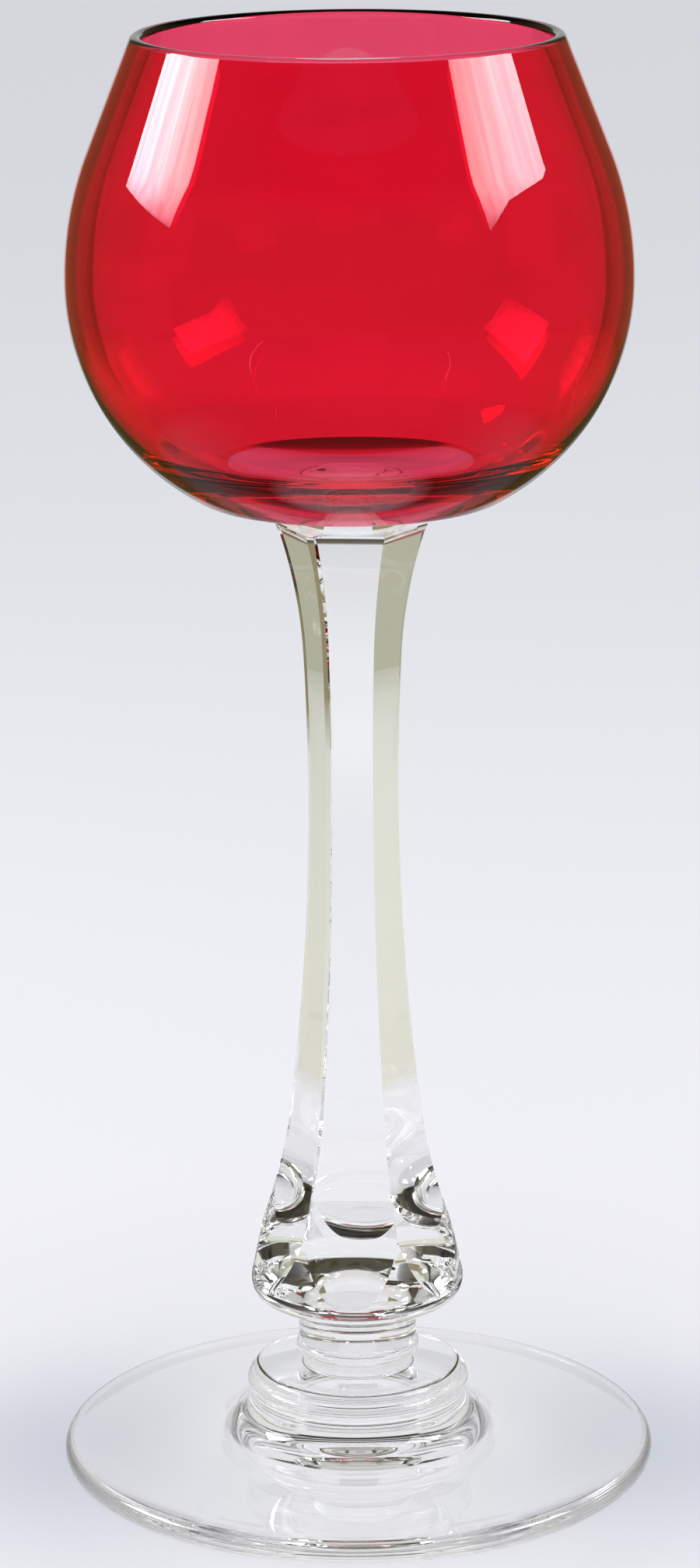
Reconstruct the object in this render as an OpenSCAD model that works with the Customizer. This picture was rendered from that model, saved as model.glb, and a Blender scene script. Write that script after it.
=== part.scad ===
// Hock wine glass: a ruby-cased bowl on a clear stem with six cut panels and a round stepped foot.
// Millimetres, +Z up. The origin is the middle of the resting plane under the foot.

/* [Bowl] */
// Greatest outside diameter of the bowl
bowl_d = 76; // [72:0.5:80]
// Outside diameter just under the rounded lip
lip_d = 57.6; // [54:0.2:62]
// Height of the bowl from its underside to the top of the lip
bowl_h = 63.6; // [60:0.1:70]
// Height of the widest ring above the underside of the bowl
belly_h = 31; // [29.5:0.1:32]
// Radius of the shoulder curve above the widest ring
shoulder_r = 46.7; // [42:0.1:49]
// Height of that curve, up to the nearly straight lip
shoulder_rise = 16.7; // [13:0.1:20]
// Radius of the curve below the widest ring
side_r = 33.5; // [32:0.1:36]
// Radius of the rounding where the side turns into the underside
heel_r = 4.5; // [3:0.1:7]
// Radius of the nearly flat underside
base_r = 150; // [110:1:200]
// Thickness of the clear glass in the side of the bowl
wall_t = 1.3; // [1:0.05:2]
// Radius of the curve below the widest ring, inside
inner_side_r = 30; // [28:0.1:31]
// Radius of the rounding round the floor, inside
inner_heel_r = 10; // [6:0.5:14]
// Radius of the dished floor, inside
floor_r = 60; // [50:1:80]
// Thickness of the clear glass in the middle of the bowl's floor
floor_t = 2.9; // [2.4:0.1:5]
// Thickness of the ruby casing on the outside
casing_t = 0.45; // [0.3:0.05:0.7]
// Distance by which the casing's lower edge lies inside the heel's centre
casing_inset = 0.7; // [0.3:0.1:6]

/* [Button] */
// Diameter of the clear button that joins the bowl to the stem
button_d = 14; // [11:0.2:15.6]
// Height of the button
button_h = 2.3; // [1.6:0.1:3.5]
// Radius of the glass fillet at each end of the button
button_weld_r = 0.5; // [0.3:0.05:0.7]

/* [Stem] */
// Height of the stem from the neck to its flat head
stem_h = 113.7; // [106:0.1:120]
// Distance across two opposite panels at the waist
waist_af = 10.74; // [9:0.02:13]
// Height of the waist above the neck
waist_h = 76.6; // [72:0.1:80]
// Radius of the long wheel cut that hollows each panel
panel_r = 415; // [360:5:480]
// Height above the waist where the head starts to flare
head_rise = 19; // [15:0.5:22]
// Radius of the wheel cut at the head
head_flare_r = 75; // [65:1:90]
// Height of the brim where the head's edge turns outward
brim_rise = 1.5; // [1:0.1:1.8]
// Radius of the small wheel cut under the brim
brim_r = 3; // [2.6:0.1:5]
// Height below the waist where the panel starts to flare to the knop
knop_drop = 47; // [44:0.5:50]
// Radius of the wheel cut at the knop
knop_flare_r = 75; // [70:1:85]
// Angle by which the panels are turned from the front
panel_turn = -4.5; // [-10:0.5:10]

/* [Knop] */
// Greatest diameter of the turned knop
knop_d = 29.6; // [28:0.1:32]
// Height of the knop's widest ring above the neck
knop_h = 6; // [5:0.1:7]
// Rounding of the knop's widest ring
knop_edge_r = 3.2; // [2.4:0.1:4]
// Diameter of the blank above the knop, just clear of the panel corners
blank_d = 25; // [24.6:0.2:27]
// Height above the knop's widest ring at which the blank has that diameter
blank_rise = 11; // [8:0.5:16]
// Angle by which the knop's edge rounds over below its widest ring
knop_under_a = 48; // [40:1:60]
// Angle by which the knop's edge rounds over above its widest ring
knop_over_a = 14; // [8:1:20]

/* [Neck] */
// Height of the neck between the collar and the knop
neck_h = 6.8; // [6:0.1:9]
// Diameter of the neck where it meets the knop
neck_d = 16.4; // [15.8:0.1:18]
// Diameter of the narrow ring under the bead
neck_waist_d = 15.2; // [14:0.1:15.6]
// Radius of the bead's section
bead_r = 1; // [0.7:0.05:1.3]
// Height of the bead's middle above the collar
bead_h = 2.7; // [2.2:0.1:3.2]
// Radius of the glass fillet where the neck sits on the collar
weld_r = 0.4; // [0.2:0.05:0.6]

/* [Collar] */
// Diameter of the lower band
low_band_d = 31.1; // [30.4:0.1:34]
// Height of the lower band
low_band_h = 2.1; // [1.8:0.1:2.5]
// Radius of the lower band's section
low_band_r = 1.3; // [1.26:0.02:1.6]
// Diameter of the upper band
top_band_d = 29.2; // [27:0.1:30]
// Height of the upper band
top_band_h = 1.4; // [1.1:0.1:1.9]
// Radius of the upper band's section
top_band_r = 1; // [0.75:0.05:1.1]

/* [Foot] */
// Diameter of the foot
foot_d = 82.8; // [78:0.2:90]
// Thickness of the foot at its rounded edge
edge_t = 3.3; // [2.6:0.1:4]
// Height of the foot at its middle, up to the collar
boss_h = 10.1; // [9:0.1:12]
// Radius of the hollow sweep from the collar to the foot
cove_r = 5.3; // [4.5:0.1:5.8]
// Slope of the foot's upper side
foot_slope = 4.4; // [3:0.1:6]
// Width of the flat resting ring
rest_w = 3.2; // [2:0.1:5]
// Rise of the hollow underside at its middle
under_rise = 0.9; // [0.4:0.1:1.4]
// Diameter of the ground pontil mark
pontil_d = 17.4; // [12:0.2:20]
// Depth of the ground pontil mark
pontil_t = 0.8; // [0.4:0.1:1.2]

/* [Hidden] */
$fn = 96;
// Angle between neighbouring points of a curve
step = 4;
// Heights of the joints, built up from the table
collar_z = boss_h;
neck_z = collar_z + low_band_h + top_band_h;
stem_z = neck_z + neck_h;
head_z = stem_z + stem_h;
bowl_z = head_z + button_h;
top_z = bowl_z + bowl_h;
belly_z = bowl_z + belly_h;
waist_z = stem_z + waist_h;
knop_z = stem_z + knop_h;
// Curves of the bowl's outside: underside, heel, side and shoulder arcs that meet smoothly
wall = casing_t + wall_t;
bowl_r = bowl_d / 2;
side_c = [bowl_r - side_r, belly_z];
base_c = [0, bowl_z + base_r];
heel_c = heel_centre(side_c, side_r - heel_r, base_c, base_r - heel_r);
window_r = heel_c.x - casing_inset;
button_rim_r = button_d / 2 + button_weld_r;
shoulder_c = [bowl_r - shoulder_r, belly_z];
shoulder_a = asin(shoulder_rise / shoulder_r);
shoulder_end = shoulder_c + shoulder_r * [cos(shoulder_a), sin(shoulder_a)];
// Upper part of the shoulder: an arc of any radius, or a straight line, that meets the lip
lean = lip_angle([lip_d / 2, top_z]);
lip = [lip_d / 2, top_z - wall / 2 * (1 - sin(lean))];
lip_a = lip_angle(lip);
lip_n = [cos(lip_a), sin(lip_a)];
// Curves of the bowl's inside, with a thicker floor
inner_side_c = [bowl_r - wall - inner_side_r, belly_z];
inner_base_c = [0, bowl_z + floor_t + floor_r];
inner_heel_c = heel_centre(inner_side_c, inner_side_r - inner_heel_r, inner_base_c, floor_r - inner_heel_r);
// Centres of the four wheel cuts of a panel, which meet smoothly
knop_cut_a = asin(knop_drop / panel_r);
head_cut_a = asin(head_rise / panel_r);
panel_c = [waist_af / 2 + panel_r, waist_z];
knop_cut_c = panel_c - (panel_r - knop_flare_r) * [cos(knop_cut_a), sin(knop_cut_a)];
head_cut_c = panel_c - (panel_r - head_flare_r) * [cos(head_cut_a), -sin(head_cut_a)];
brim_cut_a = asin((head_z - brim_rise - head_cut_c.y) / head_flare_r);
brim_c = head_cut_c - (head_flare_r - brim_r) * [cos(brim_cut_a), -sin(brim_cut_a)];
brim_end_a = asin((head_z - brim_c.y) / brim_r);
// Half width across the panels at the head, and a blank that leaves its corners sharp
head_a = brim_c.x - brim_r * cos(brim_end_a);
head_r = max(blank_d / 2, head_a / cos(30) + 2);

// Compass direction of a vector in degrees
function direction(v) = atan2(v.y, v.x);
// Centre of the rounding between two arcs: the outer crossing of circles about c1 and c2
function heel_centre(c1, r1, c2, r2) =
  let (d = norm(c2 - c1), u = (c2 - c1) / d, a = (r1 * r1 - r2 * r2 + d * d) / (2 * d))
  c1 + a * u + sqrt(r1 * r1 - a * a) * [u.y, -u.x];
// Direction of the lip's normal, where a curve that leaves the shoulder arc smoothly reaches a point
function lip_angle(p) = 2 * (direction(p - shoulder_end) - 90) - shoulder_a;
// Share of the chord covered at share s of a curve that turns by 2 * d
function along(s, d) = abs(d) < 0.01 ? s : sin(s * d) / sin(d);
// Curve from the shoulder arc to the lip at depth t in the glass, without its first point
function to_lip(t) =
  let (d = (lip_a - shoulder_a) / 2, far = norm(lip - shoulder_end), k = max(2, ceil(abs(2 * d) / step)))
  [for (i = [1 : k])
    let (s = i / k, a = shoulder_a + 90 + s * d, n = shoulder_a + 2 * s * d)
    shoulder_end + far * along(s, d) * [cos(a), sin(a)] - t * [cos(n), sin(n)]];
// Points along an arc in n steps, or in steps of a few degrees
function arc(c, r, a0, a1, n = 0) =
  let (k = n > 0 ? n : max(2, ceil(abs(a1 - a0) / step)))
  [for (i = [0 : k]) c + r * [cos(a0 + (a1 - a0) * i / k), sin(a0 + (a1 - a0) * i / k)]];
// Points in the opposite order
function reversed(p) = [for (i = [len(p) - 1 : -1 : 0]) p[i]];
// All points but the first
function rest(p) = [for (i = [1 : len(p) - 1]) p[i]];
// Underside of the bowl at depth t in the glass, between two radii
function underside(t, x0, x1) =
  let (r = base_r - t) arc(base_c, r, -acos(x0 / r), -acos(x1 / r), 4);
// Radius at which the underside passes into the heel
function heel_start(t) = (base_r - t) * cos(direction(heel_c - base_c));
// Side of the bowl at depth t in the glass, from the heel to the lip
function side(t) = concat(
  rest(arc(heel_c, heel_r - t, direction(heel_c - base_c), direction(heel_c - side_c))),
  rest(arc(side_c, side_r - t, direction(heel_c - side_c), 0)),
  rest(arc(shoulder_c, shoulder_r - t, 0, shoulder_a)),
  to_lip(t));
// Inside of the bowl, from the lip to the axis
function inside() =
  let (side_a = direction(inner_heel_c - inner_side_c), base_a = direction(inner_heel_c - inner_base_c))
  concat(
    rest(reversed(to_lip(wall))), arc(shoulder_c, shoulder_r - wall, shoulder_a, 0),
    rest(arc(inner_side_c, inner_side_r, 0, side_a)),
    rest(arc(inner_heel_c, inner_heel_r, side_a, base_a)),
    rest(arc(inner_base_c, floor_r, base_a, -90)));

// Body of the bowl, blown in clear glass: its lip caps the casing, its floor shows in the casing's window
module bowl() {
  color([0.93, 0.95, 0.95, 0.45])
    rotate_extrude()
      polygon(concat(
        underside(0, 0, button_rim_r), rest(underside(0, button_rim_r, window_r)),
        underside(casing_t, window_r, heel_start(casing_t)), side(casing_t),
        arc(lip - wall / 2 * lip_n, wall / 2, lip_a, lip_a + 180),
        inside()));
}

// Ruby glass cased over the bowl, from the lip to the edge of the flat underside
module casing() {
  color([0.75, 0.05, 0.15, 0.7])
    rotate_extrude()
      polygon(concat(
        underside(0, window_r, heel_start(0)), side(0),
        reversed(side(casing_t)), reversed(underside(casing_t, window_r, heel_start(casing_t)))));
}

// Clear button between the bowl and the stem
module button() {
  rim_z = base_c.y - sqrt(pow(base_r, 2) - pow(button_rim_r, 2));
  color([0.93, 0.95, 0.94, 0.45])
    rotate_extrude()
      polygon(concat(
        [[0, head_z]],
        arc([button_rim_r, head_z + button_weld_r], button_weld_r, -90, -180),
        arc([button_rim_r, rim_z - button_weld_r], button_weld_r, 180, 90),
        rest(underside(0, button_rim_r, 0))));
}

// Turned blank of the stem with the knop below
module stem_blank() {
  edge_c = [knop_d / 2 - knop_edge_r, knop_z];
  rotate_extrude()
    polygon(concat(
      [[0, stem_z], [neck_d / 2, stem_z]],
      arc(edge_c, knop_edge_r, -knop_under_a, knop_over_a),
      [[blank_d / 2, knop_z + blank_rise], [head_r, waist_z + head_rise], [head_r, head_z], [0, head_z]]));
}

// Glass that the wheel takes off for one panel: a long cut, tighter ones at its ends and under the brim
module panel_cut() {
  low_a = 180 + asin((knop_cut_c.y - stem_z) / knop_flare_r);
  rotate([90, 0, 0])
    linear_extrude(height = 3 * knop_d, center = true)
      polygon(concat(
        arc(knop_cut_c, knop_flare_r, low_a, 180 + knop_cut_a, 9),
        rest(arc(panel_c, panel_r, 180 + knop_cut_a, 180 - head_cut_a, 14)),
        rest(arc(head_cut_c, head_flare_r, 180 - head_cut_a, 180 - brim_cut_a, 7)),
        rest(arc(brim_c, brim_r, 180 - brim_cut_a, 175 - brim_end_a, 8)),
        [[knop_d, head_z + 1], [knop_d, stem_z]]));
}

// Stem with six hollowed panels that run out on the knop
module stem() {
  color([0.93, 0.95, 0.94, 0.45])
    difference() {
      stem_blank();
      for (i = [0 : 5]) rotate(60 * i - 90 + panel_turn) panel_cut();
    }
}

// Neck between the knop and the collar, with one bead
module neck() {
  bead_c = [neck_waist_d / 2, neck_z + bead_h];
  bead_a = acos((neck_d - neck_waist_d) / 2 / bead_r);
  color([0.93, 0.95, 0.94, 0.45])
    rotate_extrude()
      polygon(concat(
        [[0, neck_z]],
        arc([neck_waist_d / 2 + weld_r, neck_z + weld_r], weld_r, -90, -180),
        arc(bead_c, bead_r, -90, bead_a),
        [[neck_d / 2, stem_z], [0, stem_z]]));
}

// Collar of two turned bands that carries the neck
module collar() {
  low_a = asin(low_band_h / 2 / low_band_r);
  low_c = [low_band_d / 2 - low_band_r, collar_z + low_band_h / 2];
  top_c = [top_band_d / 2 - top_band_r, neck_z - top_band_r];
  top_a = -asin((top_band_h - top_band_r) / top_band_r);
  color([0.93, 0.95, 0.94, 0.45])
    rotate_extrude()
      polygon(concat(
        [[0, collar_z]],
        arc(low_c, low_band_r, -low_a, low_a),
        arc(top_c, top_band_r, top_a, 90),
        [[0, neck_z]]));
}

// Foot with a hollow sweep on top, a rounded edge, a resting ring and a ground pontil mark
module foot() {
  edge_r = edge_t / 2;
  rest_r = foot_d / 2 - edge_r;
  under_w = rest_r - rest_w;
  under_R = (under_w * under_w + under_rise * under_rise) / (2 * under_rise);
  pontil_r = pontil_d / 2;
  pontil_z = under_rise - under_R + sqrt(pow(under_R, 2) - pow(pontil_r, 2));
  pontil_h = under_rise + pontil_t - pontil_z;
  pontil_R = (pontil_r * pontil_r + pontil_h * pontil_h) / (2 * pontil_h);
  boss_r = low_band_d / 2 - low_band_r * (1 - cos(asin(low_band_h / 2 / low_band_r)));
  color([0.93, 0.95, 0.94, 0.45])
    rotate_extrude()
      polygon(concat(
        arc([0, under_rise + pontil_t - pontil_R], pontil_R, 90, acos(pontil_r / pontil_R)),
        [for (i = [1 : 8]) let (x = pontil_r + (under_w - pontil_r) * i / 8)
          [x, under_rise - under_R + sqrt(under_R * under_R - x * x)]],
        arc([rest_r, edge_r], edge_r, -90, 90 - foot_slope),
        arc([boss_r + cove_r, collar_z], cove_r, 270 - foot_slope, 180),
        [[0, collar_z]]));
}

bowl();
casing();
button();
stem();
neck();
collar();
foot();
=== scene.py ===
import bmesh
import bpy
import math
from mathutils import Matrix, Vector


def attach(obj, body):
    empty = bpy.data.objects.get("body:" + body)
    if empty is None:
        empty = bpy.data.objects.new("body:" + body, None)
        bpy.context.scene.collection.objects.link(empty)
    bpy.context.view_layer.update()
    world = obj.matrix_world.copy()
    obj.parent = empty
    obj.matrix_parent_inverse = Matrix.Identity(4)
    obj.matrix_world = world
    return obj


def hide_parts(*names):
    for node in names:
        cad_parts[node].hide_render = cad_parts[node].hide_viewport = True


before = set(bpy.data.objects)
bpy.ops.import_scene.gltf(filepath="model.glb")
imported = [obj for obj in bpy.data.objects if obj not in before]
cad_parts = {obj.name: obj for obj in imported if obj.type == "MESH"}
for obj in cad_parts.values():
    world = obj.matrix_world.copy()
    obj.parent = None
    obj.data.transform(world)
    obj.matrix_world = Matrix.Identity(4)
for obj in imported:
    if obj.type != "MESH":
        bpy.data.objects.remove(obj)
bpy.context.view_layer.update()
scene = bpy.context.scene
mm = 0.001                                # the glass is measured in millimetres, the stage in metres
samePoint = 1e-4                          # points of a profile nearer than this are one
tiny = 1e-6                               # a length that counts as nothing
weldDistance = 1e-7                       # in metres, for the finished mesh
glassFace, jointFace = 0, 1               # material slots of a piece
print("frame loaded:", ", ".join(sorted(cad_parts)))


# Points of a profile are (radius, height)

def pointAt(centre, radius, degrees):
    a = math.radians(degrees)
    return (centre[0] + radius * math.cos(a), centre[1] + radius * math.sin(a))


def arc(centre, radius, start, end, stepDegrees=2.0):
    n = max(3, math.ceil(abs(end - start) / stepDegrees))
    return [pointAt(centre, radius, start + (end - start) * i / n) for i in range(n + 1)]


def straight(a, b, n):
    return [(a[0] + (b[0] - a[0]) * i / n, a[1] + (b[1] - a[1]) * i / n) for i in range(n + 1)]


def direction(a, b):
    return math.degrees(math.atan2(b[1] - a[1], b[0] - a[0]))


def roundingCentre(c1, r1, c2, r2):       # outer crossing of two circles
    d = math.dist(c1, c2)
    ux, uy = (c2[0] - c1[0]) / d, (c2[1] - c1[1]) / d
    along = (r1 * r1 - r2 * r2 + d * d) / (2 * d)
    off = math.sqrt(r1 * r1 - along * along)
    return (c1[0] + along * ux + off * uy, c1[1] + along * uy - off * ux)


def newObject(name, bm):
    mesh = bpy.data.meshes.new(name)
    bm.to_mesh(mesh)
    bm.free()
    made = bpy.data.objects.new(name, mesh)
    scene.collection.objects.link(made)
    return made


def newPiece(name, bm, materials, sharpDegrees=30):
    bmesh.ops.remove_doubles(bm, verts=bm.verts, dist=weldDistance)
    bmesh.ops.recalc_face_normals(bm, faces=bm.faces)
    for f in bm.faces:
        f.smooth = True
    for e in bm.edges:
        if len(e.link_faces) == 2 and e.calc_face_angle() > math.radians(sharpDegrees):
            e.smooth = False
    piece = newObject(name, bm)
    for m in materials:
        piece.data.materials.append(m)
    return piece


def turnedPiece(name, runs, materials, around=256, closed=False):
    line, slots = [], []                  # slots[i] finishes the band from point i to point i + 1
    for points, slot in runs:
        for p in points:
            if line and math.dist(p, line[-1]) < samePoint:
                continue
            if line:
                slots.append(slot)
            line.append(p)
    if closed:
        slots.append(runs[-1][1])
    bm = bmesh.new()
    rings = []
    for r, z in line:
        if r < tiny:
            rings.append([bm.verts.new((0, 0, z * mm))])
            continue
        ring = []
        for k in range(around):
            a = 2 * math.pi * k / around
            ring.append(bm.verts.new((r * mm * math.cos(a), r * mm * math.sin(a), z * mm)))
        rings.append(ring)
    count = len(rings)
    for i, slot in enumerate(slots):
        a, b = rings[i], rings[(i + 1) % count]
        for k in range(around):
            n = (k + 1) % around
            if len(a) == 1:
                corners = (a[0], b[n], b[k])
            elif len(b) == 1:
                corners = (a[k], a[n], b[0])
            else:
                corners = (a[k], a[n], b[n], b[k])
            bm.faces.new(corners).material_index = slot
    return newPiece(name, bm, materials)


def placePiece(piece, node):        # nothing on the glass moves
    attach(piece, "root")
    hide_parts(node)


# Camera at the photograph's angle, fitted to the outline of the glass
cameraView = dict(place=(0, -673.07, 277.69), target=(-0.466, 0, 97.583), roll=0.008,
                  focalPixels=6549.96, imageHeight=2017, sensor=36, clip=(0.01, 50))


def makeCamera():
    v = cameraView
    place = Vector(v["place"]) * mm
    ahead = (Vector(v["target"]) * mm - place).normalized()
    right = ahead.cross(Vector((0, 0, 1))).normalized()
    up = right.cross(ahead)
    cosRoll, sinRoll = math.cos(v["roll"]), math.sin(v["roll"])
    axisX, axisY = right * cosRoll - up * sinRoll, right * sinRoll + up * cosRoll
    optics = bpy.data.cameras.new("camera")
    optics.sensor_width = v["sensor"]
    optics.lens = v["sensor"] * v["focalPixels"] / v["imageHeight"]
    optics.clip_start, optics.clip_end = v["clip"]
    camera = bpy.data.objects.new("camera", optics)
    camera.matrix_world = Matrix((
        (axisX.x, axisY.x, -ahead.x, place.x),
        (axisX.y, axisY.y, -ahead.y, place.y),
        (axisX.z, axisY.z, -ahead.z, place.z),
        (0, 0, 0, 1)))
    scene.collection.objects.link(camera)
    scene.camera = camera


makeCamera()
scene.view_settings.view_transform = "Standard"
print("camera set")


# Node helpers: a value is a number, a colour or the output of another node

def addNode(tree, kind, at=(0, 0), **settings):
    node = tree.nodes.new(kind)
    node.location = at
    for key, value in settings.items():
        setattr(node, key, value)
    return node


def feed(tree, socket, value):
    if isinstance(value, (int, float)):
        socket.default_value = value
    elif isinstance(value, tuple):
        socket.default_value = (*value, 1)
    else:
        tree.links.new(value, socket)


def maths(tree, operation, *values, clamp=False):
    node = addNode(tree, "ShaderNodeMath", operation=operation, use_clamp=clamp)
    for socket, value in zip(node.inputs, values):
        feed(tree, socket, value)
    return node.outputs[0]


def times(tree, a, b):
    return maths(tree, "MULTIPLY", a, b)


def risen(tree, value, start, width):     # 0 up to the start, then up to 1 over the width
    return maths(tree, "DIVIDE", maths(tree, "SUBTRACT", value, start), width, clamp=True)


def ramp(tree, value, stops, interpolation="LINEAR"):
    node = addNode(tree, "ShaderNodeValToRGB")
    node.color_ramp.interpolation = interpolation
    elements = node.color_ramp.elements
    while len(elements) < len(stops):
        elements.new(0.5)
    for element, (position, colour) in zip(elements, stops):
        element.position = position
        element.color = (*colour, 1)
    tree.links.new(value, node.inputs["Fac"])
    return node.outputs["Color"]


def greys(stops):
    return [(at, (level, level, level)) for at, level in stops]


def mixColours(tree, factor, a, b, blend="MIX"):
    node = addNode(tree, "ShaderNodeMix", data_type="RGBA", blend_type=blend)
    for index, value in ((0, factor), (6, a), (7, b)):      # the sockets of a colour mix
        feed(tree, node.inputs[index], value)
    return node.outputs[2]


def tinted(tree, colour, by):
    return mixColours(tree, 1.0, colour, by, "MULTIPLY")


def mixShaders(tree, factor, a, b, at):
    node = addNode(tree, "ShaderNodeMixShader", at)
    for socket, value in zip(node.inputs, (factor, a, b)):
        tree.links.new(value, socket)
    return node.outputs[0]


def noise(tree, vector, at, **sockets):
    node = addNode(tree, "ShaderNodeTexNoise", at)
    tree.links.new(vector, node.inputs["Vector"])
    for name, value in sockets.items():
        node.inputs[name].default_value = value
    return node


def placeOn(tree, kind="Object"):         # coordinates, whole and split
    coords = addNode(tree, "ShaderNodeTexCoord", (-900, 0))
    split = addNode(tree, "ShaderNodeSeparateXYZ", (-700, 0))
    tree.links.new(coords.outputs[kind], split.inputs[0])
    return coords.outputs[kind], split.outputs


def azimuthOf(tree, spot):                # degrees from straight behind the glass
    return maths(tree, "DEGREES", maths(tree, "ARCTAN2", spot["X"], spot["Y"]))


def lengthOf(tree, vector):
    node = addNode(tree, "ShaderNodeVectorMath", (-700, 200), operation="LENGTH")
    tree.links.new(vector, node.inputs[0])
    return node.outputs["Value"]


def newMaterial(name):
    mat = bpy.data.materials.new(name)
    mat.use_nodes = True
    tree = mat.node_tree
    tree.nodes.clear()
    out = addNode(tree, "ShaderNodeOutputMaterial", (900, 0))
    return mat, tree, out.inputs["Surface"]


# Hand-made glass: drawn striae, slow waves from the blowing, fine rubbed marks
handMadeLook = dict(waveDetail=1.0, waveDistortion=0.3, scuffScale=900, scuffDetail=3, scuffLimit=0.6,
                    patchScale=70)


def makeHandMadeGlass():
    s = handMadeLook
    tree = bpy.data.node_groups.new("handMadeGlass", "ShaderNodeTree")
    face = tree.interface
    face.new_socket("Tint", in_out="INPUT", socket_type="NodeSocketColor")
    for name in ("Tint Change", "Wave Scale", "Striae Stretch", "Rub", "Rub Height"):
        face.new_socket(name, in_out="INPUT", socket_type="NodeSocketFloat")
    face.new_socket("Colour", in_out="OUTPUT", socket_type="NodeSocketColor")
    for name in ("Roughness", "Height"):
        face.new_socket(name, in_out="OUTPUT", socket_type="NodeSocketFloat")
    given = addNode(tree, "NodeGroupInput", (-900, 300)).outputs
    put = addNode(tree, "NodeGroupOutput", (900, 0)).inputs
    place, spot = placeOn(tree)
    # striae lie round the axis: the height counts more than the way round
    stretched = addNode(tree, "ShaderNodeCombineXYZ", (-500, 300))
    tree.links.new(spot["X"], stretched.inputs["X"])
    tree.links.new(spot["Y"], stretched.inputs["Y"])
    tree.links.new(times(tree, spot["Z"], given["Striae Stretch"]), stretched.inputs["Z"])
    waves = noise(tree, stretched.outputs[0], (-300, 300),
                  Detail=s["waveDetail"], Distortion=s["waveDistortion"])
    tree.links.new(given["Wave Scale"], waves.inputs["Scale"])
    # fine scuffs where a glass is set down
    scuffs = noise(tree, place, (-300, 0), Scale=s["scuffScale"], Detail=s["scuffDetail"])
    patches = noise(tree, place, (-300, -250), Scale=s["patchScale"])
    low = maths(tree, "LESS_THAN", spot["Z"], given["Rub Height"])
    scuffed = maths(tree, "GREATER_THAN", scuffs.outputs["Fac"], s["scuffLimit"])
    marks = times(tree, scuffed, patches.outputs["Fac"])
    tree.links.new(times(tree, times(tree, marks, low), given["Rub"]), put["Roughness"])
    swing = maths(tree, "SUBTRACT", waves.outputs["Fac"], 0.5)
    shade = maths(tree, "MULTIPLY_ADD", swing, given["Tint Change"], 1.0)
    grey = addNode(tree, "ShaderNodeCombineColor", (300, 200))
    for socket in grey.inputs:
        tree.links.new(shade, socket)
    tree.links.new(tinted(tree, given["Tint"], grey.outputs[0]), put["Colour"])
    tree.links.new(waves.outputs["Fac"], put["Height"])
    return tree


handMadeGlass = makeHandMadeGlass()


def addHandMadeGlass(tree, look, tint, tintChange):
    made = addNode(tree, "ShaderNodeGroup", (-500, 0), node_tree=handMadeGlass)
    made.inputs["Tint"].default_value = (*tint, 1)
    made.inputs["Tint Change"].default_value = tintChange
    for socket, key in (("Wave Scale", "waveScale"), ("Striae Stretch", "striae"),
                        ("Rub", "rub"), ("Rub Height", "rubHeight")):
        made.inputs[socket].default_value = look[key]
    return made.outputs


def glassMaterial(name, look):
    mat, tree, surface = newMaterial(name)
    glass = addNode(tree, "ShaderNodeBsdfPrincipled", (0, 0))
    glass.inputs["Transmission Weight"].default_value = 1
    glass.inputs["IOR"].default_value = look["ior"]
    made = addHandMadeGlass(tree, look, look["tint"], look["tintChange"])
    bump = addNode(tree, "ShaderNodeBump", (-250, -200))
    bump.inputs["Strength"].default_value = 1
    bump.inputs["Distance"].default_value = look["waveDepth"] * mm
    tree.links.new(made["Height"], bump.inputs["Height"])
    tree.links.new(made["Colour"], glass.inputs["Base Color"])
    tree.links.new(made["Roughness"], glass.inputs["Roughness"])
    tree.links.new(bump.outputs[0], glass.inputs["Normal"])
    # light for the table passes through, with a faint shadow that is deeper where the glass turns away
    path = addNode(tree, "ShaderNodeLightPath", (0, 400)).outputs
    veil = addNode(tree, "ShaderNodeBsdfTransparent", (200, -250))
    lean = addNode(tree, "ShaderNodeLayerWeight", (-250, -450))
    edge = tuple(v * look["edgeShadow"] for v in look["shadow"])
    start, end = look["edgeSpan"]
    deepening = ramp(tree, lean.outputs["Facing"], [(start, look["shadow"]), (end, edge)])
    tree.links.new(deepening, veil.inputs["Color"])
    shown = mixShaders(tree, path["Is Shadow Ray"], glass.outputs[0], veil.outputs[0], (450, 0))
    tree.links.new(mixShaders(tree, path["Is Diffuse Ray"], shown, veil.outputs[0], (680, 0)), surface)
    return mat


def jointMaterial(name, look=None):       # fused glass has no surface left to see, at most a stain
    mat, tree, surface = newMaterial(name)
    clear = addNode(tree, "ShaderNodeBsdfTransparent")
    if look:
        made = addHandMadeGlass(tree, look, look["stain"], look["stainChange"])
        tree.links.new(made["Colour"], clear.inputs["Color"])
    tree.links.new(clear.outputs[0], surface)
    return mat


fusedJoint = jointMaterial("fusedJoint")
clearLook = dict(ior=1.52, tint=(0.985, 0.99, 0.985), tintChange=0.02, waveScale=55, striae=1.5,
                 waveDepth=0.01, rub=0.0, rubHeight=0.0, shadow=(0.975, 0.975, 0.975), edgeShadow=0.4,
                 edgeSpan=(0.55, 0.95))

# Where two pieces are fused: heights from the table up, the diameter under the stem, the radius of the button
jointAt = dict(collarZ=10.1, neckZ=13.6, stemZ=20.4, headZ=134.1, bowlZ=136.4, stemD=16.4, buttonRim=7.5)


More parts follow.
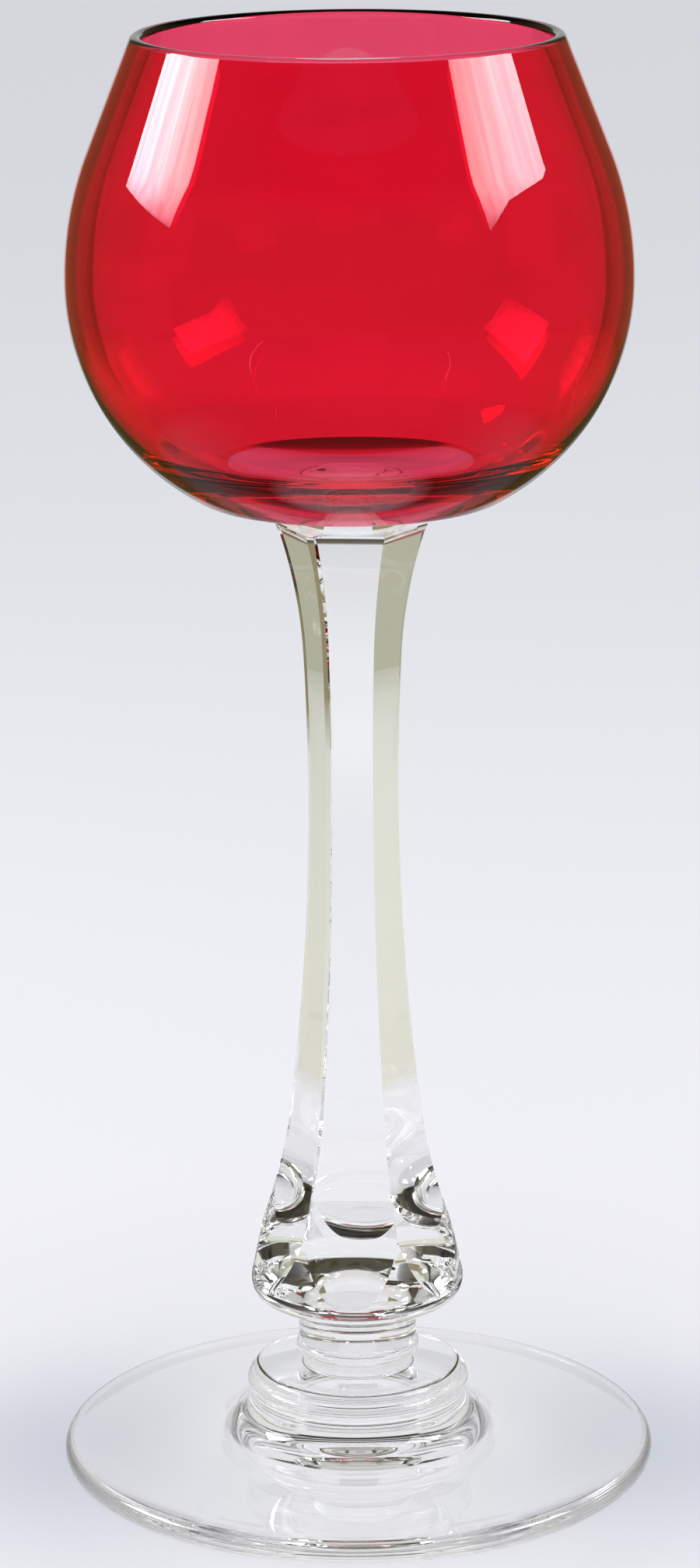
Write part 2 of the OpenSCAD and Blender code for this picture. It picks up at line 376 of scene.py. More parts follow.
# Bowl of clear glass and the ruby casing on it; the steps are degrees along an arc
bowlShape = dict(bowlD=76, lipD=57.6, bowlH=63.6, bellyH=31, shoulderR=46.7, shoulderRise=16.7, sideR=33.5,
                 heelR=4.5, baseR=150, wallT=1.3, innerSideR=30, innerHeelR=10, floorT=2.9, floorR=60,
                 casingT=0.45, casingInset=0.7, stainGap=0.02, lipRows=8,
                 baseStep=0.5, sideStep=1.2, innerHeelStep=3, floorStep=0.8, rimStep=8)
rubyLook = dict(clearLook, tint=(0.995, 0.0775, 0.167), tintChange=0.14, stain=(0.934, 0.278, 0.409),
                stainChange=0.06, waveScale=45, striae=3, waveDepth=0.012, shadow=(0.9, 0.3, 0.45))
bowlLook = dict(clearLook, waveScale=40, waveDepth=0.012)


def makeBowl():
    s = bowlShape
    bowlZ, bowlR, weldR = jointAt["bowlZ"], s["bowlD"] / 2, jointAt["buttonRim"]
    wall = s["wallT"] + s["casingT"]
    topZ, bellyZ = bowlZ + s["bowlH"], bowlZ + s["bellyH"]
    sideC, baseC = (bowlR - s["sideR"], bellyZ), (0, bowlZ + s["baseR"])
    heelC = roundingCentre(sideC, s["sideR"] - s["heelR"], baseC, s["baseR"] - s["heelR"])
    heelSideA, heelBaseA = direction(sideC, heelC), direction(baseC, heelC)
    windowR = heelC[0] - s["casingInset"]
    shoulderC = (bowlR - s["shoulderR"], bellyZ)
    shoulderA = math.degrees(math.asin(s["shoulderRise"] / s["shoulderR"]))
    shoulderEnd = pointAt(shoulderC, s["shoulderR"], shoulderA)

    def lipAngle(p):                      # normal at the end of an arc that goes on from the shoulder
        return 2 * (direction(shoulderEnd, p) - 90) - shoulderA

    lean = lipAngle((s["lipD"] / 2, topZ))
    lip = (s["lipD"] / 2, topZ - wall / 2 * (1 - math.sin(math.radians(lean))))
    lipA = lipAngle(lip)

    def depth(p, t, a):                   # a point moved into the glass against its normal
        return (p[0] - t * math.cos(math.radians(a)), p[1] - t * math.sin(math.radians(a)))

    def underside(t, x0, x1):
        r = s["baseR"] - t
        start, end = -math.degrees(math.acos(x0 / r)), -math.degrees(math.acos(x1 / r))
        return arc(baseC, r, start, end, s["baseStep"])

    def outside(t, x0):                   # from a radius on the underside, round the heel and up to the lip
        points = underside(t, x0, (s["baseR"] - t) * math.cos(math.radians(heelBaseA)))
        points += arc(heelC, s["heelR"] - t, heelBaseA, heelSideA)[1:]
        points += arc(sideC, s["sideR"] - t, heelSideA, 0, s["sideStep"])[1:]
        points += arc(shoulderC, s["shoulderR"] - t, 0, shoulderA, s["sideStep"])[1:]
        return points + straight(depth(shoulderEnd, t, shoulderA), depth(lip, t, lipA), s["lipRows"])[1:]

    innerSideR, innerHeelR, floorR = s["innerSideR"], s["innerHeelR"], s["floorR"]
    innerSideC = (bowlR - wall - innerSideR, bellyZ)
    floorC = (0, bowlZ + s["floorT"] + floorR)
    innerHeelC = roundingCentre(innerSideC, innerSideR - innerHeelR, floorC, floorR - innerHeelR)
    sideA, floorA = direction(innerSideC, innerHeelC), direction(floorC, innerHeelC)
    inside = straight(depth(lip, wall, lipA), depth(shoulderEnd, wall, shoulderA), s["lipRows"])[:-1]
    inside += arc(shoulderC, s["shoulderR"] - wall, shoulderA, 0, s["sideStep"])
    inside += arc(innerSideC, innerSideR, 0, sideA, s["sideStep"])[1:]
    inside += arc(innerHeelC, innerHeelR, sideA, floorA, s["innerHeelStep"])[1:]
    inside += arc(floorC, floorR, floorA, -90, s["floorStep"])[1:]

    rim = arc(depth(lip, wall / 2, lipA), wall / 2, lipA, lipA + 180, s["rimStep"])
    bowl = turnedPiece("bowlBody", [
        (underside(0, 0, weldR), jointFace), (underside(0, weldR, windowR), glassFace),
        (outside(s["casingT"], windowR) + rim[:1], jointFace), (rim[1:] + inside, glassFace)],
        [glassMaterial("blownBowl", bowlLook), fusedJoint])
    stained = outside(s["casingT"] - s["stainGap"], windowR)
    casing = turnedPiece("rubyCasing", [
        (outside(0, windowR), glassFace), (stained[::-1], jointFace)],
        [glassMaterial("rubyCased", rubyLook), jointMaterial("rubyStain", rubyLook)], closed=True)
    placePiece(bowl, "bowl")
    placePiece(casing, "casing")


makeBowl()
print("bowl and casing made")


# Button between the bowl and the stem
buttonShape = dict(weldR=0.5, weldStep=8, topStep=0.5, around=128)


def makeButton():
    s = buttonShape
    rimR, headZ, baseR = jointAt["buttonRim"], jointAt["headZ"], bowlShape["baseR"]
    baseC = (0, jointAt["bowlZ"] + baseR)
    rimZ = baseC[1] - math.sqrt(baseR ** 2 - rimR ** 2)
    wall = arc((rimR, headZ + s["weldR"]), s["weldR"], -90, -180, s["weldStep"])
    wall += arc((rimR, rimZ - s["weldR"]), s["weldR"], 180, 90, s["weldStep"])
    top = arc(baseC, baseR, -math.degrees(math.acos(rimR / baseR)), -90, s["topStep"])
    button = turnedPiece("clearButton", [
        ([(0, headZ), (rimR, headZ)], jointFace), (wall, glassFace), (top, jointFace)],
        [glassMaterial("buttonGlass", clearLook), fusedJoint], around=s["around"])
    placePiece(button, "button")


makeButton()
print("button made")


# Stem with six hollowed panels that run out on the knop
stemShape = dict(waistAf=10.74, waistZ=97, panelR=415, panelTurn=-4.5, headRise=19, headFlareR=75,
                 headSpare=2, lipRise=1.15, lipSlope=23, lipMargin=0.05, knopDrop=47, knopFlareR=75,
                 knopD=29.6, knopZ=26.4, knopEdgeR=3.2, knopUnder=48, knopOver=14, underSlope=28.6,
                 underStraight=2.8, blankD=25, blankRise=11, arris=0.006, headArris=0.15, bevel=0.35,
                 bevelDrop=11, rubbed=0.2, rubbedZ=42, rubbedRise=28,
                 leastHalf=0.5, flat=10, curved=4, sharp=24,
                 rows=((30, 0.12), (45, 0.3), (118, 0.6), (140, 0.3)))    # height, and the step below it
stemLook = dict(clearLook, waveScale=60, waveDepth=0.006)
panels = 6
halfPanel = 180 / panels                  # degrees from the middle of a panel to its corner


def makeStem():
    s = stemShape
    stemZ, headZ, rimR = jointAt["stemZ"], jointAt["headZ"], jointAt["buttonRim"]
    cosHalf = math.cos(math.radians(halfPanel))
    knopA, knopReach = math.asin(s["knopDrop"] / s["panelR"]), s["panelR"] - s["knopFlareR"]
    headA, headReach = math.asin(s["headRise"] / s["panelR"]), s["panelR"] - s["headFlareR"]
    panelC = (s["waistAf"] / 2 + s["panelR"], s["waistZ"])
    knopC = (panelC[0] - knopReach * math.cos(knopA), panelC[1] - knopReach * math.sin(knopA))
    headC = (panelC[0] - headReach * math.cos(headA), panelC[1] + headReach * math.sin(headA))
    lipZ = headZ - s["lipRise"]
    lipStart = headC[0] - math.sqrt(s["headFlareR"] ** 2 - (lipZ - headC[1]) ** 2)

    def panelAt(z):                       # half the distance across two opposite panels
        if z > lipZ:
            return lipStart + (z - lipZ) * math.tan(math.radians(s["lipSlope"]))
        if z < s["waistZ"] - s["knopDrop"]:
            c, r = knopC, s["knopFlareR"]
        elif z > s["waistZ"] + s["headRise"]:
            c, r = headC, s["headFlareR"]
        else:
            c, r = panelC, s["panelR"]
        return c[0] - math.sqrt(r * r - (z - c[1]) ** 2)

    edgeC = (s["knopD"] / 2 - s["knopEdgeR"], s["knopZ"])
    low, top = pointAt(edgeC, s["knopEdgeR"], -s["knopUnder"]), pointAt(edgeC, s["knopEdgeR"], s["knopOver"])
    lowEnd = (jointAt["stemD"] / 2, stemZ)
    headR = max(s["blankD"] / 2, panelAt(headZ) / cosHalf + s["headSpare"])
    blank = [top, (s["blankD"] / 2, s["knopZ"] + s["blankRise"]),
             (headR, s["waistZ"] + s["headRise"]), (headR, headZ)]

    under = math.radians(s["underSlope"])  # below the knop a straight slope, then a cove into the neck
    coveTop = (low[0] - s["underStraight"] * math.cos(under), low[1] - s["underStraight"] * math.sin(under))
    coveTurn = math.radians(direction(lowEnd, coveTop)) - under
    coveR = math.dist(lowEnd, coveTop) / (2 * math.sin(coveTurn))
    coveC = (coveTop[0] + coveR * math.sin(under), coveTop[1] - coveR * math.cos(under))

    def blankAt(z):                       # radius of the turned form before the panels are cut
        if z < coveTop[1]:
            return coveC[0] - math.sqrt(coveR ** 2 - (z - coveC[1]) ** 2)
        if z < low[1]:
            return low[0] - (low[1] - z) / math.tan(under)
        if z <= top[1]:
            return edgeC[0] + math.sqrt(max(s["knopEdgeR"] ** 2 - (z - edgeC[1]) ** 2, 0))
        for (r0, z0), (r1, z1) in zip(blank, blank[1:]):
            if z0 <= z <= z1:
                return r0 + (r1 - r0) * (z - z0) / (z1 - z0)
        return headR

    def halfTurn(a, r):                   # degrees from the middle of a panel to where it ends
        return max(s["leastHalf"], math.degrees(math.acos(min(1, a / r)))) if a < r else s["leastHalf"]

    flat, curved = s["flat"], s["curved"]  # steps across a panel, and from its edge to the next corner

    def section(z, inset=0.0):
        a = panelAt(z) - inset
        whole = min(blankAt(z), a / cosHalf - s["arris"])
        ground = s["bevel"] * (1 - (headZ - z) / s["bevelDrop"])   # one corner is worn, most at the head
        rubbed = s["rubbed"] * min(1, max(0, (z - s["rubbedZ"]) / s["rubbedRise"]))
        worn = whole - max(ground, rubbed)
        ring = []
        for i in range(panels):
            middle = 2 * halfPanel * i - 90 + s["panelTurn"]
            before, after = i == 0, i == panels - 1                # the worn corner lies between these two
            rs = (worn if before else whole, worn if after else whole)
            halves = [halfTurn(a, r) for r in rs]
            turns = [-halfPanel + (halfPanel - halves[0]) * k / curved for k in range(curved)]
            for k in range(flat + 1):
                share = 2 * k / flat - 1
                half = halves[0] if share < 0 else halves[1]
                turns.append(math.degrees(math.atan(math.tan(math.radians(half)) * share)))
            turns += [halves[1] + (halfPanel - halves[1]) * k / curved for k in range(1, curved)]
            for t in turns:
                rho = min(rs[0] if t < 0 else rs[1], a / math.cos(math.radians(t)))
                w = math.radians(middle + t)
                ring.append((rho * math.cos(w), rho * math.sin(w)))
        return ring, a < whole - tiny

    levels, z = [], stemZ                 # height of each row of points, and how far in it lies
    while z < lipZ - s["lipMargin"]:
        levels.append((z, 0.0))
        z += next(step for below, step in s["rows"] if z < below)
    levels += [(lipZ, 0.0), (headZ - s["headArris"], 0.0), (headZ, s["headArris"])]

    bm = bmesh.new()
    rings, cut = [], []
    for z, inset in levels:
        ring, isCut = section(z, inset)
        rings.append([bm.verts.new((x * mm, y * mm, z * mm)) for x, y in ring])
        cut.append(isCut)
    weld = []                             # the head is fused to the button inside this ring
    for x, y in ring:
        r = math.hypot(x, y)
        weld.append(bm.verts.new((x / r * rimR * mm, y / r * rimR * mm, headZ * mm)))
    rings.append(weld)
    perPanel, count = 2 * curved + flat, len(weld)
    for a, b in zip(rings, rings[1:]):
        for k in range(count):
            n = (k + 1) % count
            bm.faces.new((a[k], a[n], b[n], b[k]))
    for i in range(len(cut) - 1):         # the edges of the panels stay sharp
        if not (cut[i] and cut[i + 1]):
            continue
        for k in range(count):
            if k % perPanel in (curved, curved + flat):
                bm.edges.get((rings[i][k], rings[i + 1][k])).smooth = False
    for ring, z in ((rings[0], stemZ), (weld, headZ)):
        middle = bm.verts.new((0, 0, z * mm))
        for k in range(count):
            bm.faces.new((ring[k], ring[(k + 1) % count], middle)).material_index = jointFace
    stem = newPiece("cutStem", bm, [glassMaterial("cutStemGlass", stemLook), fusedJoint], s["sharp"])
    placePiece(stem, "stem")


makeStem()
print("stem made")


# Neck with its bead
neckShape = dict(waistD=15.2, beadR=1, beadH=2.7, weldR=0.4, weldStep=8, beadStep=5, around=192)
neckRim = neckShape["waistD"] / 2 + neckShape["weldR"]
lowerLook = dict(clearLook, waveDepth=0.003)


def makeNeck():
    s = neckShape
    z, top, topR = jointAt["neckZ"], jointAt["stemZ"], jointAt["stemD"] / 2
    beadA = math.degrees(math.acos((topR - s["waistD"] / 2) / s["beadR"]))
    wall = arc((neckRim, z + s["weldR"]), s["weldR"], -90, -180, s["weldStep"])
    wall += arc((s["waistD"] / 2, z + s["beadH"]), s["beadR"], -90, beadA, s["beadStep"])
    wall += [(topR, top)]
    neck = turnedPiece("turnedNeck", [
        ([(0, z), (neckRim, z)], jointFace), (wall, glassFace), ([(0, top)], jointFace)],
        [glassMaterial("neckGlass", lowerLook), fusedJoint], around=s["around"])
    placePiece(neck, "neck")


# Collar of two turned bands
collarShape = dict(lowD=31.1, lowH=2.1, lowR=1.3, topD=29.2, topH=1.4, topR=1, bandStep=4)
lowA = math.degrees(math.asin(collarShape["lowH"] / 2 / collarShape["lowR"]))
bossR = collarShape["lowD"] / 2 - collarShape["lowR"] * (1 - math.cos(math.radians(lowA)))


def makeCollar():
    s = collarShape
    z, top = jointAt["collarZ"], jointAt["neckZ"]
    topA = -math.degrees(math.asin((s["topH"] - s["topR"]) / s["topR"]))
    bands = arc((s["lowD"] / 2 - s["lowR"], z + s["lowH"] / 2), s["lowR"], -lowA, lowA, s["bandStep"])
    bands += arc((s["topD"] / 2 - s["topR"], top - s["topR"]), s["topR"], topA, 90, s["bandStep"])
    bands += [(neckRim, top)]
    collar = turnedPiece("bandedCollar", [
        ([(0, z), (bossR, z)], jointFace), (bands, glassFace), ([(0, top)], jointFace)],
        [glassMaterial("collarGlass", lowerLook), fusedJoint])
    placePiece(collar, "collar")


# Foot with a hollow sweep, a resting ring and a ground pontil mark
footShape = dict(d=82.8, edgeT=3.3, coveR=5.3, slope=4.4, restW=3.2, underRise=0.9, pontilD=17.4, pontilT=0.8,
                 pontilStep=1.5, edgeStep=4, coveStep=2, underRows=24, slopeRows=12, around=320)
footLook = dict(clearLook, waveScale=45, waveDepth=0.008, rub=0.12, rubHeight=0.0004, edgeShadow=0.95)


def makeFoot():
    s = footShape
    bossZ, edgeR, pontilR = jointAt["collarZ"], s["edgeT"] / 2, s["pontilD"] / 2
    restR = s["d"] / 2 - edgeR
    underW = restR - s["restW"]
    underCurve = (underW ** 2 + s["underRise"] ** 2) / (2 * s["underRise"])

    def underAt(x):
        return s["underRise"] - underCurve + math.sqrt(underCurve ** 2 - x * x)

    pontilZ = s["underRise"] + s["pontilT"]
    pontilH = pontilZ - underAt(pontilR)
    pontilCurve = (pontilR ** 2 + pontilH ** 2) / (2 * pontilH)
    pontilA = math.degrees(math.acos(pontilR / pontilCurve))
    under = arc((0, pontilZ - pontilCurve), pontilCurve, 90, pontilA, s["pontilStep"])
    for i in range(s["underRows"]):
        x = pontilR + (underW - pontilR) * (i + 1) / s["underRows"]
        under.append((x, underAt(x)))
    edge = arc((restR, edgeR), edgeR, -90, 90 - s["slope"], s["edgeStep"])
    cove = arc((bossR + s["coveR"], bossZ), s["coveR"], 270 - s["slope"], 180, s["coveStep"])
    sweep = straight(edge[-1], cove[0], s["slopeRows"])[1:-1]
    foot = turnedPiece("roundFoot", [(under + edge + sweep + cove, glassFace), ([(0, bossZ)], jointFace)],
                       [glassMaterial("footGlass", footLook), fusedJoint], around=s["around"])
    placePiece(foot, "foot")


makeNeck()
makeCollar()
makeFoot()
print("neck, collar and foot made")


# The stage: what is bright or dark behind glass lies along four strips, behind, beside and in front of it
stripFold = 45.0                          # degrees from the middle of a strip to the middle of a gap


def glassRays(tree):                      # rays that come through the glass, and rays mirrored by it
    path = addNode(tree, "ShaderNodeLightPath", (-700, 500)).outputs
    through = path["Is Transmission Ray"]
    return through, maths(tree, "SUBTRACT", path["Is Glossy Ray"], through, clamp=True)


def onlyBehindGlass(made):                # shows through the glass and lights nothing
    made.visible_camera = made.visible_diffuse = made.visible_glossy = made.visible_shadow = False


def stageRing(name, low, high, around=96):  # a band between two circles, each a radius and a height
    bm = bmesh.new()
    rings = []
    for r, z in (low, high):
        angles = [2 * math.pi * k / around for k in range(around)]
        rings.append([bm.verts.new((r * math.cos(a), r * math.sin(a), z)) for a in angles])
    for k in range(around):
        bm.faces.new((rings[0][k], rings[0][k - 1], rings[1][k - 1], rings[1][k]))
    return newObject(name, bm)


# Pale table: the camera sees all of it, glass a round top of it, whiter near the foot and on the strips. To
# the camera it has painted shade round the foot and a painted shadow left and right of it; in the glass's
# reflections it is painted darker, as a painted reflection
tableLook = dict(radius=4.0, segments=96, airGap=0.05,
                 # pale: distance and colour; darkest near the foot, which is painted shade round the glass,
                 # paler further out
                 pale=((0.05, (0.80, 0.81, 0.83)), (0.12, (0.86, 0.865, 0.885)),
                       (0.37, (0.88, 0.885, 0.905)), (0.85, (0.93, 0.935, 0.955))),   # distance and colour
                 throughGlass=(0.88, 0.885, 0.905), warm=(0.76, 0.76, 0.66), whiteReach=0.10, whiteFade=0.01,
                 # shade: a painted shadow on the table, left and right of the foot
                 shade=(0.77, 0.79, 0.83), shadePower=3.0, shadeReach=0.1,
                 shadeRing=((0.14, 0.0), (0.36, 1.0), (0.44, 1.0), (0.74, 0.0)),
                 fibre=(0.8, 0.8, 0.82), fibreScale=9, fibreDepth=0.03,
                 strip=14.7, stripFade=3.0, stripEdge=0.30, gapEdge=0.42, gapEnd=36, edge=0.55, edgeFade=0.12,
                 # mirrored: how much darker the table is painted where the glass mirrors it, by distance, as
                 # a painted reflection
                 mirrored=((0.075, 1.0), (0.11, 0.08), (0.35, 0.52), (0.7, 0.8), (1.0, 0.1)),
                 mirroredSide=(0.17, 0.12, 0.035), sideReach=0.12, sideFade=0.08,
                 mirroredFront=(0.12, 0.11, 0.09), frontTurn=85.0, frontTurnFade=45.0,
                 frontReach=0.042, frontFade=0.02)


def makeTable():
    s = tableLook
    bm = bmesh.new()
    bmesh.ops.create_circle(bm, cap_ends=True, segments=s["segments"], radius=s["radius"])
    table = newObject("table", bm)
    table.location.z = -s["airGap"] * mm  # the foot mirrors inside only with air below it
    mat, tree, surface = newMaterial("paleTable")
    place, spot = placeOn(tree)
    reach = lengthOf(tree, place)
    azimuth = azimuthOf(tree, spot)
    turn = maths(tree, "ABSOLUTE", azimuth)
    fold = maths(tree, "PINGPONG", azimuth, stripFold)
    through, mirrored = glassRays(tree)

    # the camera's colour by distance: painted shade round the foot, paler further out
    colour = mixColours(tree, through, ramp(tree, reach, s["pale"]), s["throughGlass"])
    # painted shadow: the table is painted darker left and right of the foot
    sideways = maths(tree, "DIVIDE", maths(tree, "ABSOLUTE", spot["X"]), reach)
    across = maths(tree, "POWER", sideways, s["shadePower"])                 # a soft shade beside the foot
    ring = ramp(tree, maths(tree, "DIVIDE", reach, s["shadeReach"]), greys(s["shadeRing"]), "EASE")
    colour = mixColours(tree, times(tree, across, ring), colour, tinted(tree, colour, s["shade"]))
    fibre = noise(tree, place, (-500, -250), Scale=s["fibreScale"])
    colour = mixColours(tree, times(tree, fibre.outputs["Fac"], s["fibreDepth"]), colour, s["fibre"])
    gap = maths(tree, "GREATER_THAN", fold, s["strip"])
    gap = times(tree, gap, risen(tree, reach, s["whiteReach"], s["whiteFade"]))
    colour = mixColours(tree, times(tree, gap, through), colour, s["warm"])

    # painted reflection: where the glass mirrors the table it is painted darker, olive off the strip behind
    # and darker in front
    dim = ramp(tree, maths(tree, "DIVIDE", reach, s["edge"]), greys(s["mirrored"]))
    olive = mixColours(tree, risen(tree, reach, s["sideReach"], s["sideFade"]), dim, s["mirroredSide"])
    dim = mixColours(tree, risen(tree, turn, s["strip"], s["stripFade"]), dim, olive)
    front = times(tree, risen(tree, turn, s["frontTurn"], s["frontTurnFade"]),
                  risen(tree, reach, s["frontReach"], s["frontFade"]))
    dim = mixColours(tree, front, dim, s["mirroredFront"])
    colour = mixColours(tree, mirrored, colour, tinted(tree, colour, dim))
    paper = addNode(tree, "ShaderNodeBsdfDiffuse", (200, 0))
    tree.links.new(colour, paper.inputs["Color"])

    ends = ((0.0, s["stripEdge"]), (s["strip"] / stripFold, s["gapEdge"]),
            (s["gapEnd"] / stripFold, s["edge"]))
    edge = ramp(tree, maths(tree, "DIVIDE", fold, stripFold), greys(ends), "CONSTANT")
    edge = mixColours(tree, through, (s["edge"],) * 3, edge)                 # how far out glass sees the top
    away = times(tree, risen(tree, reach, edge, s["edgeFade"]), maths(tree, "MAXIMUM", through, mirrored))
    gone = addNode(tree, "ShaderNodeBsdfTransparent", (200, -200))
    tree.links.new(mixShaders(tree, away, paper.outputs[0], gone.outputs[0], (600, 0)), surface)
    table.data.materials.append(mat)


makeTable()
print("table set")


# Two softboxes beside the glass: a lamp lights the table, a panel is what the glass mirrors
softboxes = [dict(name="softboxLeft", azimuth=-86.5, elevation=21.5, reach=0.62, width=0.39, height=0.185,
                  glow=19, power=1.6,
                  corners=((-0.175, -0.09), (0.175, -0.105), (0.195, 0.095), (-0.195, 0.095)),
                  spread=((0.0, 1.0), (0.5, 1.0), (0.72, 0.62), (1.0, 0.42))),
             dict(name="softboxRight", azimuth=103.5, elevation=21.5, reach=0.62, width=0.44, height=0.185,
                  glow=15, power=1.6,
                  corners=((-0.19, -0.078), (-0.05, -0.02), (0.215, -0.014), (0.215, 0.12), (-0.19, 0.15)),
                  spread=((0.0, 0.4), (0.25, 0.72), (0.5, 1.0), (1.0, 1.0)))]
softboxAim = (0, 0, 0.185)                # both face a point inside the bowl
clothLook = dict(fall=((0.0, (0.26, 0.22, 0.28)), (0.12, (0.5, 0.45, 0.53)),
                       (0.35, (0.8, 0.76, 0.82)), (0.6, (1, 0.99, 1))),      # from the lower edge up
                 foldStretch=(7, 1.6, 1), foldScale=1.5, foldDetail=2, foldDistortion=0.8,
                 folds=((0.3, (0.72, 0.7, 0.72)), (0.62, (1, 1, 1))))


def clothMaterial(s):
    mat, tree, surface = newMaterial(s["name"])
    place, spot = placeOn(tree, "Generated")
    fall = tinted(tree, ramp(tree, spot["Y"], clothLook["fall"]), ramp(tree, spot["X"], greys(s["spread"])))
    drawn = addNode(tree, "ShaderNodeMapping", (-400, -300))
    drawn.inputs["Scale"].default_value = clothLook["foldStretch"]
    tree.links.new(place, drawn.inputs["Vector"])
    folds = noise(tree, drawn.outputs[0], (-200, -300), Scale=clothLook["foldScale"],
                  Detail=clothLook["foldDetail"], Distortion=clothLook["foldDistortion"])
    cloth = ramp(tree, folds.outputs["Fac"], clothLook["folds"])
    glow = addNode(tree, "ShaderNodeEmission", (300, 0))
    glow.inputs["Strength"].default_value = s["glow"]
    tree.links.new(tinted(tree, fall, cloth), glow.inputs["Color"])
    tree.links.new(glow.outputs[0], surface)
    return mat


def makeSoftbox(s):
    az, el = math.radians(s["azimuth"]), math.radians(s["elevation"])
    toBox = Vector((math.sin(az) * math.cos(el), math.cos(az) * math.cos(el), math.sin(el)))
    lamp = bpy.data.lights.new(s["name"] + "Lamp", "AREA")
    lamp.shape, lamp.size, lamp.size_y, lamp.energy = "RECTANGLE", s["width"], s["height"], s["power"]
    holder = bpy.data.objects.new(s["name"] + "Lamp", lamp)
    scene.collection.objects.link(holder)
    holder.visible_camera = holder.visible_glossy = holder.visible_transmission = False
    bm = bmesh.new()
    bm.faces.new([bm.verts.new((x, y, 0)) for x, y in s["corners"]])
    panel = newObject(s["name"], bm)
    panel.visible_camera = panel.visible_diffuse = panel.visible_shadow = False
    panel.data.materials.append(clothMaterial(s))
    for made in (holder, panel):
        made.location = Vector(softboxAim) + toBox * s["reach"]
        made.rotation_mode = "QUATERNION"
        made.rotation_quaternion = toBox.to_track_quat("Z", "Y")


for box in softboxes:
    makeSoftbox(box)
print("softboxes set")


# Low pale walls round the table, with dim gaps between them: what the glass shows bent
wallLook = dict(radius=0.62, low=-0.25, top=0.30, strip=14.5, stripFade=0.6,
                paleLow=(0.90, 0.91, 0.94), paleHigh=(0.74, 0.75, 0.78), dim=(0.16, 0.125, 0.095),
                dark=(0.05, 0.045, 0.025), paleFrom=0.45, paleTop=0.197, paleFade=0.055,
                gap=(0.30, 0.26, 0.16), beige=(0.50, 0.51, 0.40), gapEnd=0.72, beigeStart=0.82,
                backTop=0.25, sideTop=0.15, sideTurn=55.0, fade=0.045,
                front=(0.012, 0.011, 0.008), frontTurn=105)


def makeWalls():
    s = wallLook
    walls = stageRing("walls", (s["radius"], s["low"]), (s["radius"], s["top"]))
    onlyBehindGlass(walls)
    mat, tree, surface = newMaterial("paleWalls")
    spot = placeOn(tree)[1]
    azimuth = azimuthOf(tree, spot)
    turn = maths(tree, "ABSOLUTE", azimuth)
    fold = maths(tree, "PINGPONG", azimuth, stripFold)
    height = s["top"] - s["low"]
    paleEnd = (s["paleTop"] - s["low"]) / height
    pale = ramp(tree, risen(tree, spot["Z"], s["low"], height), [
        (s["paleFrom"], s["paleLow"]), (paleEnd, s["paleHigh"]),
        (paleEnd + s["paleFade"], s["dim"]), (1.0, s["dark"])])
    between = ramp(tree, maths(tree, "DIVIDE", fold, stripFold), [
        (s["gapEnd"], s["gap"]), (s["beigeStart"], s["beige"])])
    colour = mixColours(tree, risen(tree, fold, s["strip"], s["stripFade"]), pale, between)
    beside = maths(tree, "GREATER_THAN", turn, s["sideTurn"])
    top = maths(tree, "MULTIPLY_ADD", beside, s["sideTop"] - s["backTop"], s["backTop"])
    colour = mixColours(tree, risen(tree, spot["Z"], top, s["fade"]), colour, s["dark"])
    front = maths(tree, "GREATER_THAN", turn, s["frontTurn"])
    front = times(tree, front, risen(tree, spot["Z"], 0.0, s["fade"]))
    glow = addNode(tree, "ShaderNodeEmission", (600, 0))
    tree.links.new(mixColours(tree, front, colour, s["front"]), glow.inputs["Color"])
    tree.links.new(glow.outputs[0], surface)
    walls.data.materials.append(mat)


# White canopy low over the table, seen only from below it: it keeps the knop and the foot bright
canopyLook = dict(height=0.075, inner=0.11, outer=0.62, pale=(0.80, 0.80, 0.80), dark=(0.005, 0.005, 0.004),
                  slotEnd=0.17, slotTurn=14, frontTurn=105)


def makeCanopy():
    s = canopyLook
    canopy = stageRing("canopy", (s["outer"], s["height"]), (s["inner"], s["height"]))
    onlyBehindGlass(canopy)
    mat, tree, surface = newMaterial("whiteCanopy")
    place, spot = placeOn(tree)
    turn = maths(tree, "ABSOLUTE", azimuthOf(tree, spot))
    slot = times(tree, maths(tree, "LESS_THAN", lengthOf(tree, place), s["slotEnd"]),
                 maths(tree, "LESS_THAN", turn, s["slotTurn"]))
    slot = maths(tree, "MAXIMUM", slot, maths(tree, "GREATER_THAN", turn, s["frontTurn"]))
    glow = addNode(tree, "ShaderNodeEmission", (400, 0))
    tree.links.new(mixColours(tree, slot, s["pale"], s["dark"]), glow.inputs["Color"])
    gone = addNode(tree, "ShaderNodeBsdfTransparent", (400, -200))
    side = addNode(tree, "ShaderNodeNewGeometry", (400, 250))
    shown = mixShaders(tree, side.outputs["Backfacing"], glow.outputs[0], gone.outputs[0], (650, 0))
    tree.links.new(shown, surface)
    canopy.data.materials.append(mat)


makeWalls()
makeCanopy()
print("walls and canopy set")


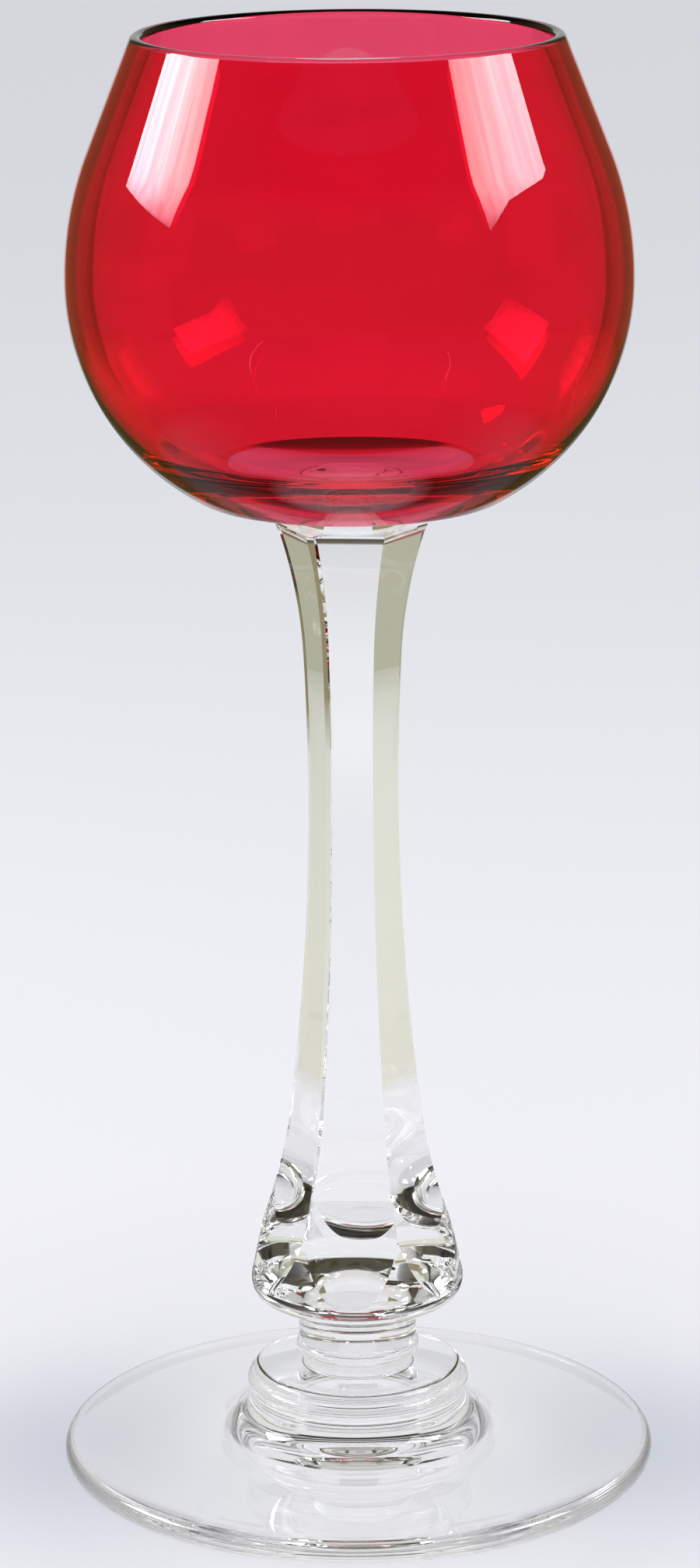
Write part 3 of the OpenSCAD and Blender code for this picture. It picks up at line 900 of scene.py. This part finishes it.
# Room: even light for the table, dark above the walls with a pale ceiling; angles in degrees
roomLook = dict(even=(0.71, 0.72, 0.75), dark=(0.05, 0.045, 0.025), ceiling=(0.60, 0.60, 0.58),
                ceilingStart=43.0, ceilingFade=14.0, mirroredSpan=45.0,
                mirrored=((0.4, (0.62, 0.62, 0.62)), (0.68, (0.42, 0.42, 0.43)), (0.95, (0.03, 0.027, 0.02))),
                mirroredTurn=13.0, mirroredFade=3.0, mirroredRoom=(0.15, 0.11, 0.05),
                mirroredCeiling=(0.03, 0.027, 0.02), roomTop=20.0, roomFade=14.0,
                seen=((0.5, (0.62, 0.64, 0.68)), (0.75, (0.78, 0.80, 0.84)), (1.0, (0.85, 0.86, 0.88))))


def makeRoom():
    s = roomLook
    world = bpy.data.worlds.new("studioRoom")
    scene.world = world
    world.use_nodes = True
    tree = world.node_tree
    tree.nodes.clear()
    way = placeOn(tree, "Generated")[1]
    turn = maths(tree, "ABSOLUTE", azimuthOf(tree, way))
    elevation = maths(tree, "DEGREES", maths(tree, "ARCSINE", way["Z"]))
    bent = mixColours(tree, risen(tree, elevation, s["ceilingStart"], s["ceilingFade"]),
                      s["dark"], s["ceiling"])
    backdrop = ramp(tree, maths(tree, "DIVIDE", elevation, s["mirroredSpan"], clamp=True), s["mirrored"])
    around = mixColours(tree, risen(tree, elevation, s["roomTop"], s["roomFade"]),
                        s["mirroredRoom"], s["mirroredCeiling"])
    mirrored = mixColours(tree, risen(tree, turn, s["mirroredTurn"], s["mirroredFade"]), backdrop, around)
    seen = ramp(tree, maths(tree, "MULTIPLY_ADD", way["Z"], 0.5, 0.5), s["seen"])    # from down to up
    path = addNode(tree, "ShaderNodeLightPath", (400, 500)).outputs
    colour = mixColours(tree, path["Is Glossy Ray"], s["even"], mirrored)
    colour = mixColours(tree, path["Is Transmission Ray"], colour, bent)
    colour = mixColours(tree, path["Is Camera Ray"], colour, seen)
    back = addNode(tree, "ShaderNodeBackground", (1200, 0))
    out = addNode(tree, "ShaderNodeOutputWorld", (1400, 0))
    tree.links.new(colour, back.inputs["Color"])
    tree.links.new(back.outputs[0], out.inputs["Surface"])


makeRoom()

cycles = scene.cycles                     # glass behind glass needs long paths
cycles.max_bounces, cycles.transmission_bounces, cycles.glossy_bounces = 32, 32, 16
cycles.transparent_max_bounces = 64
cycles.caustics_reflective = cycles.caustics_refractive = True
cycles.sample_clamp_indirect = 0
cycles.blur_glossy = 0
print("room and light set")
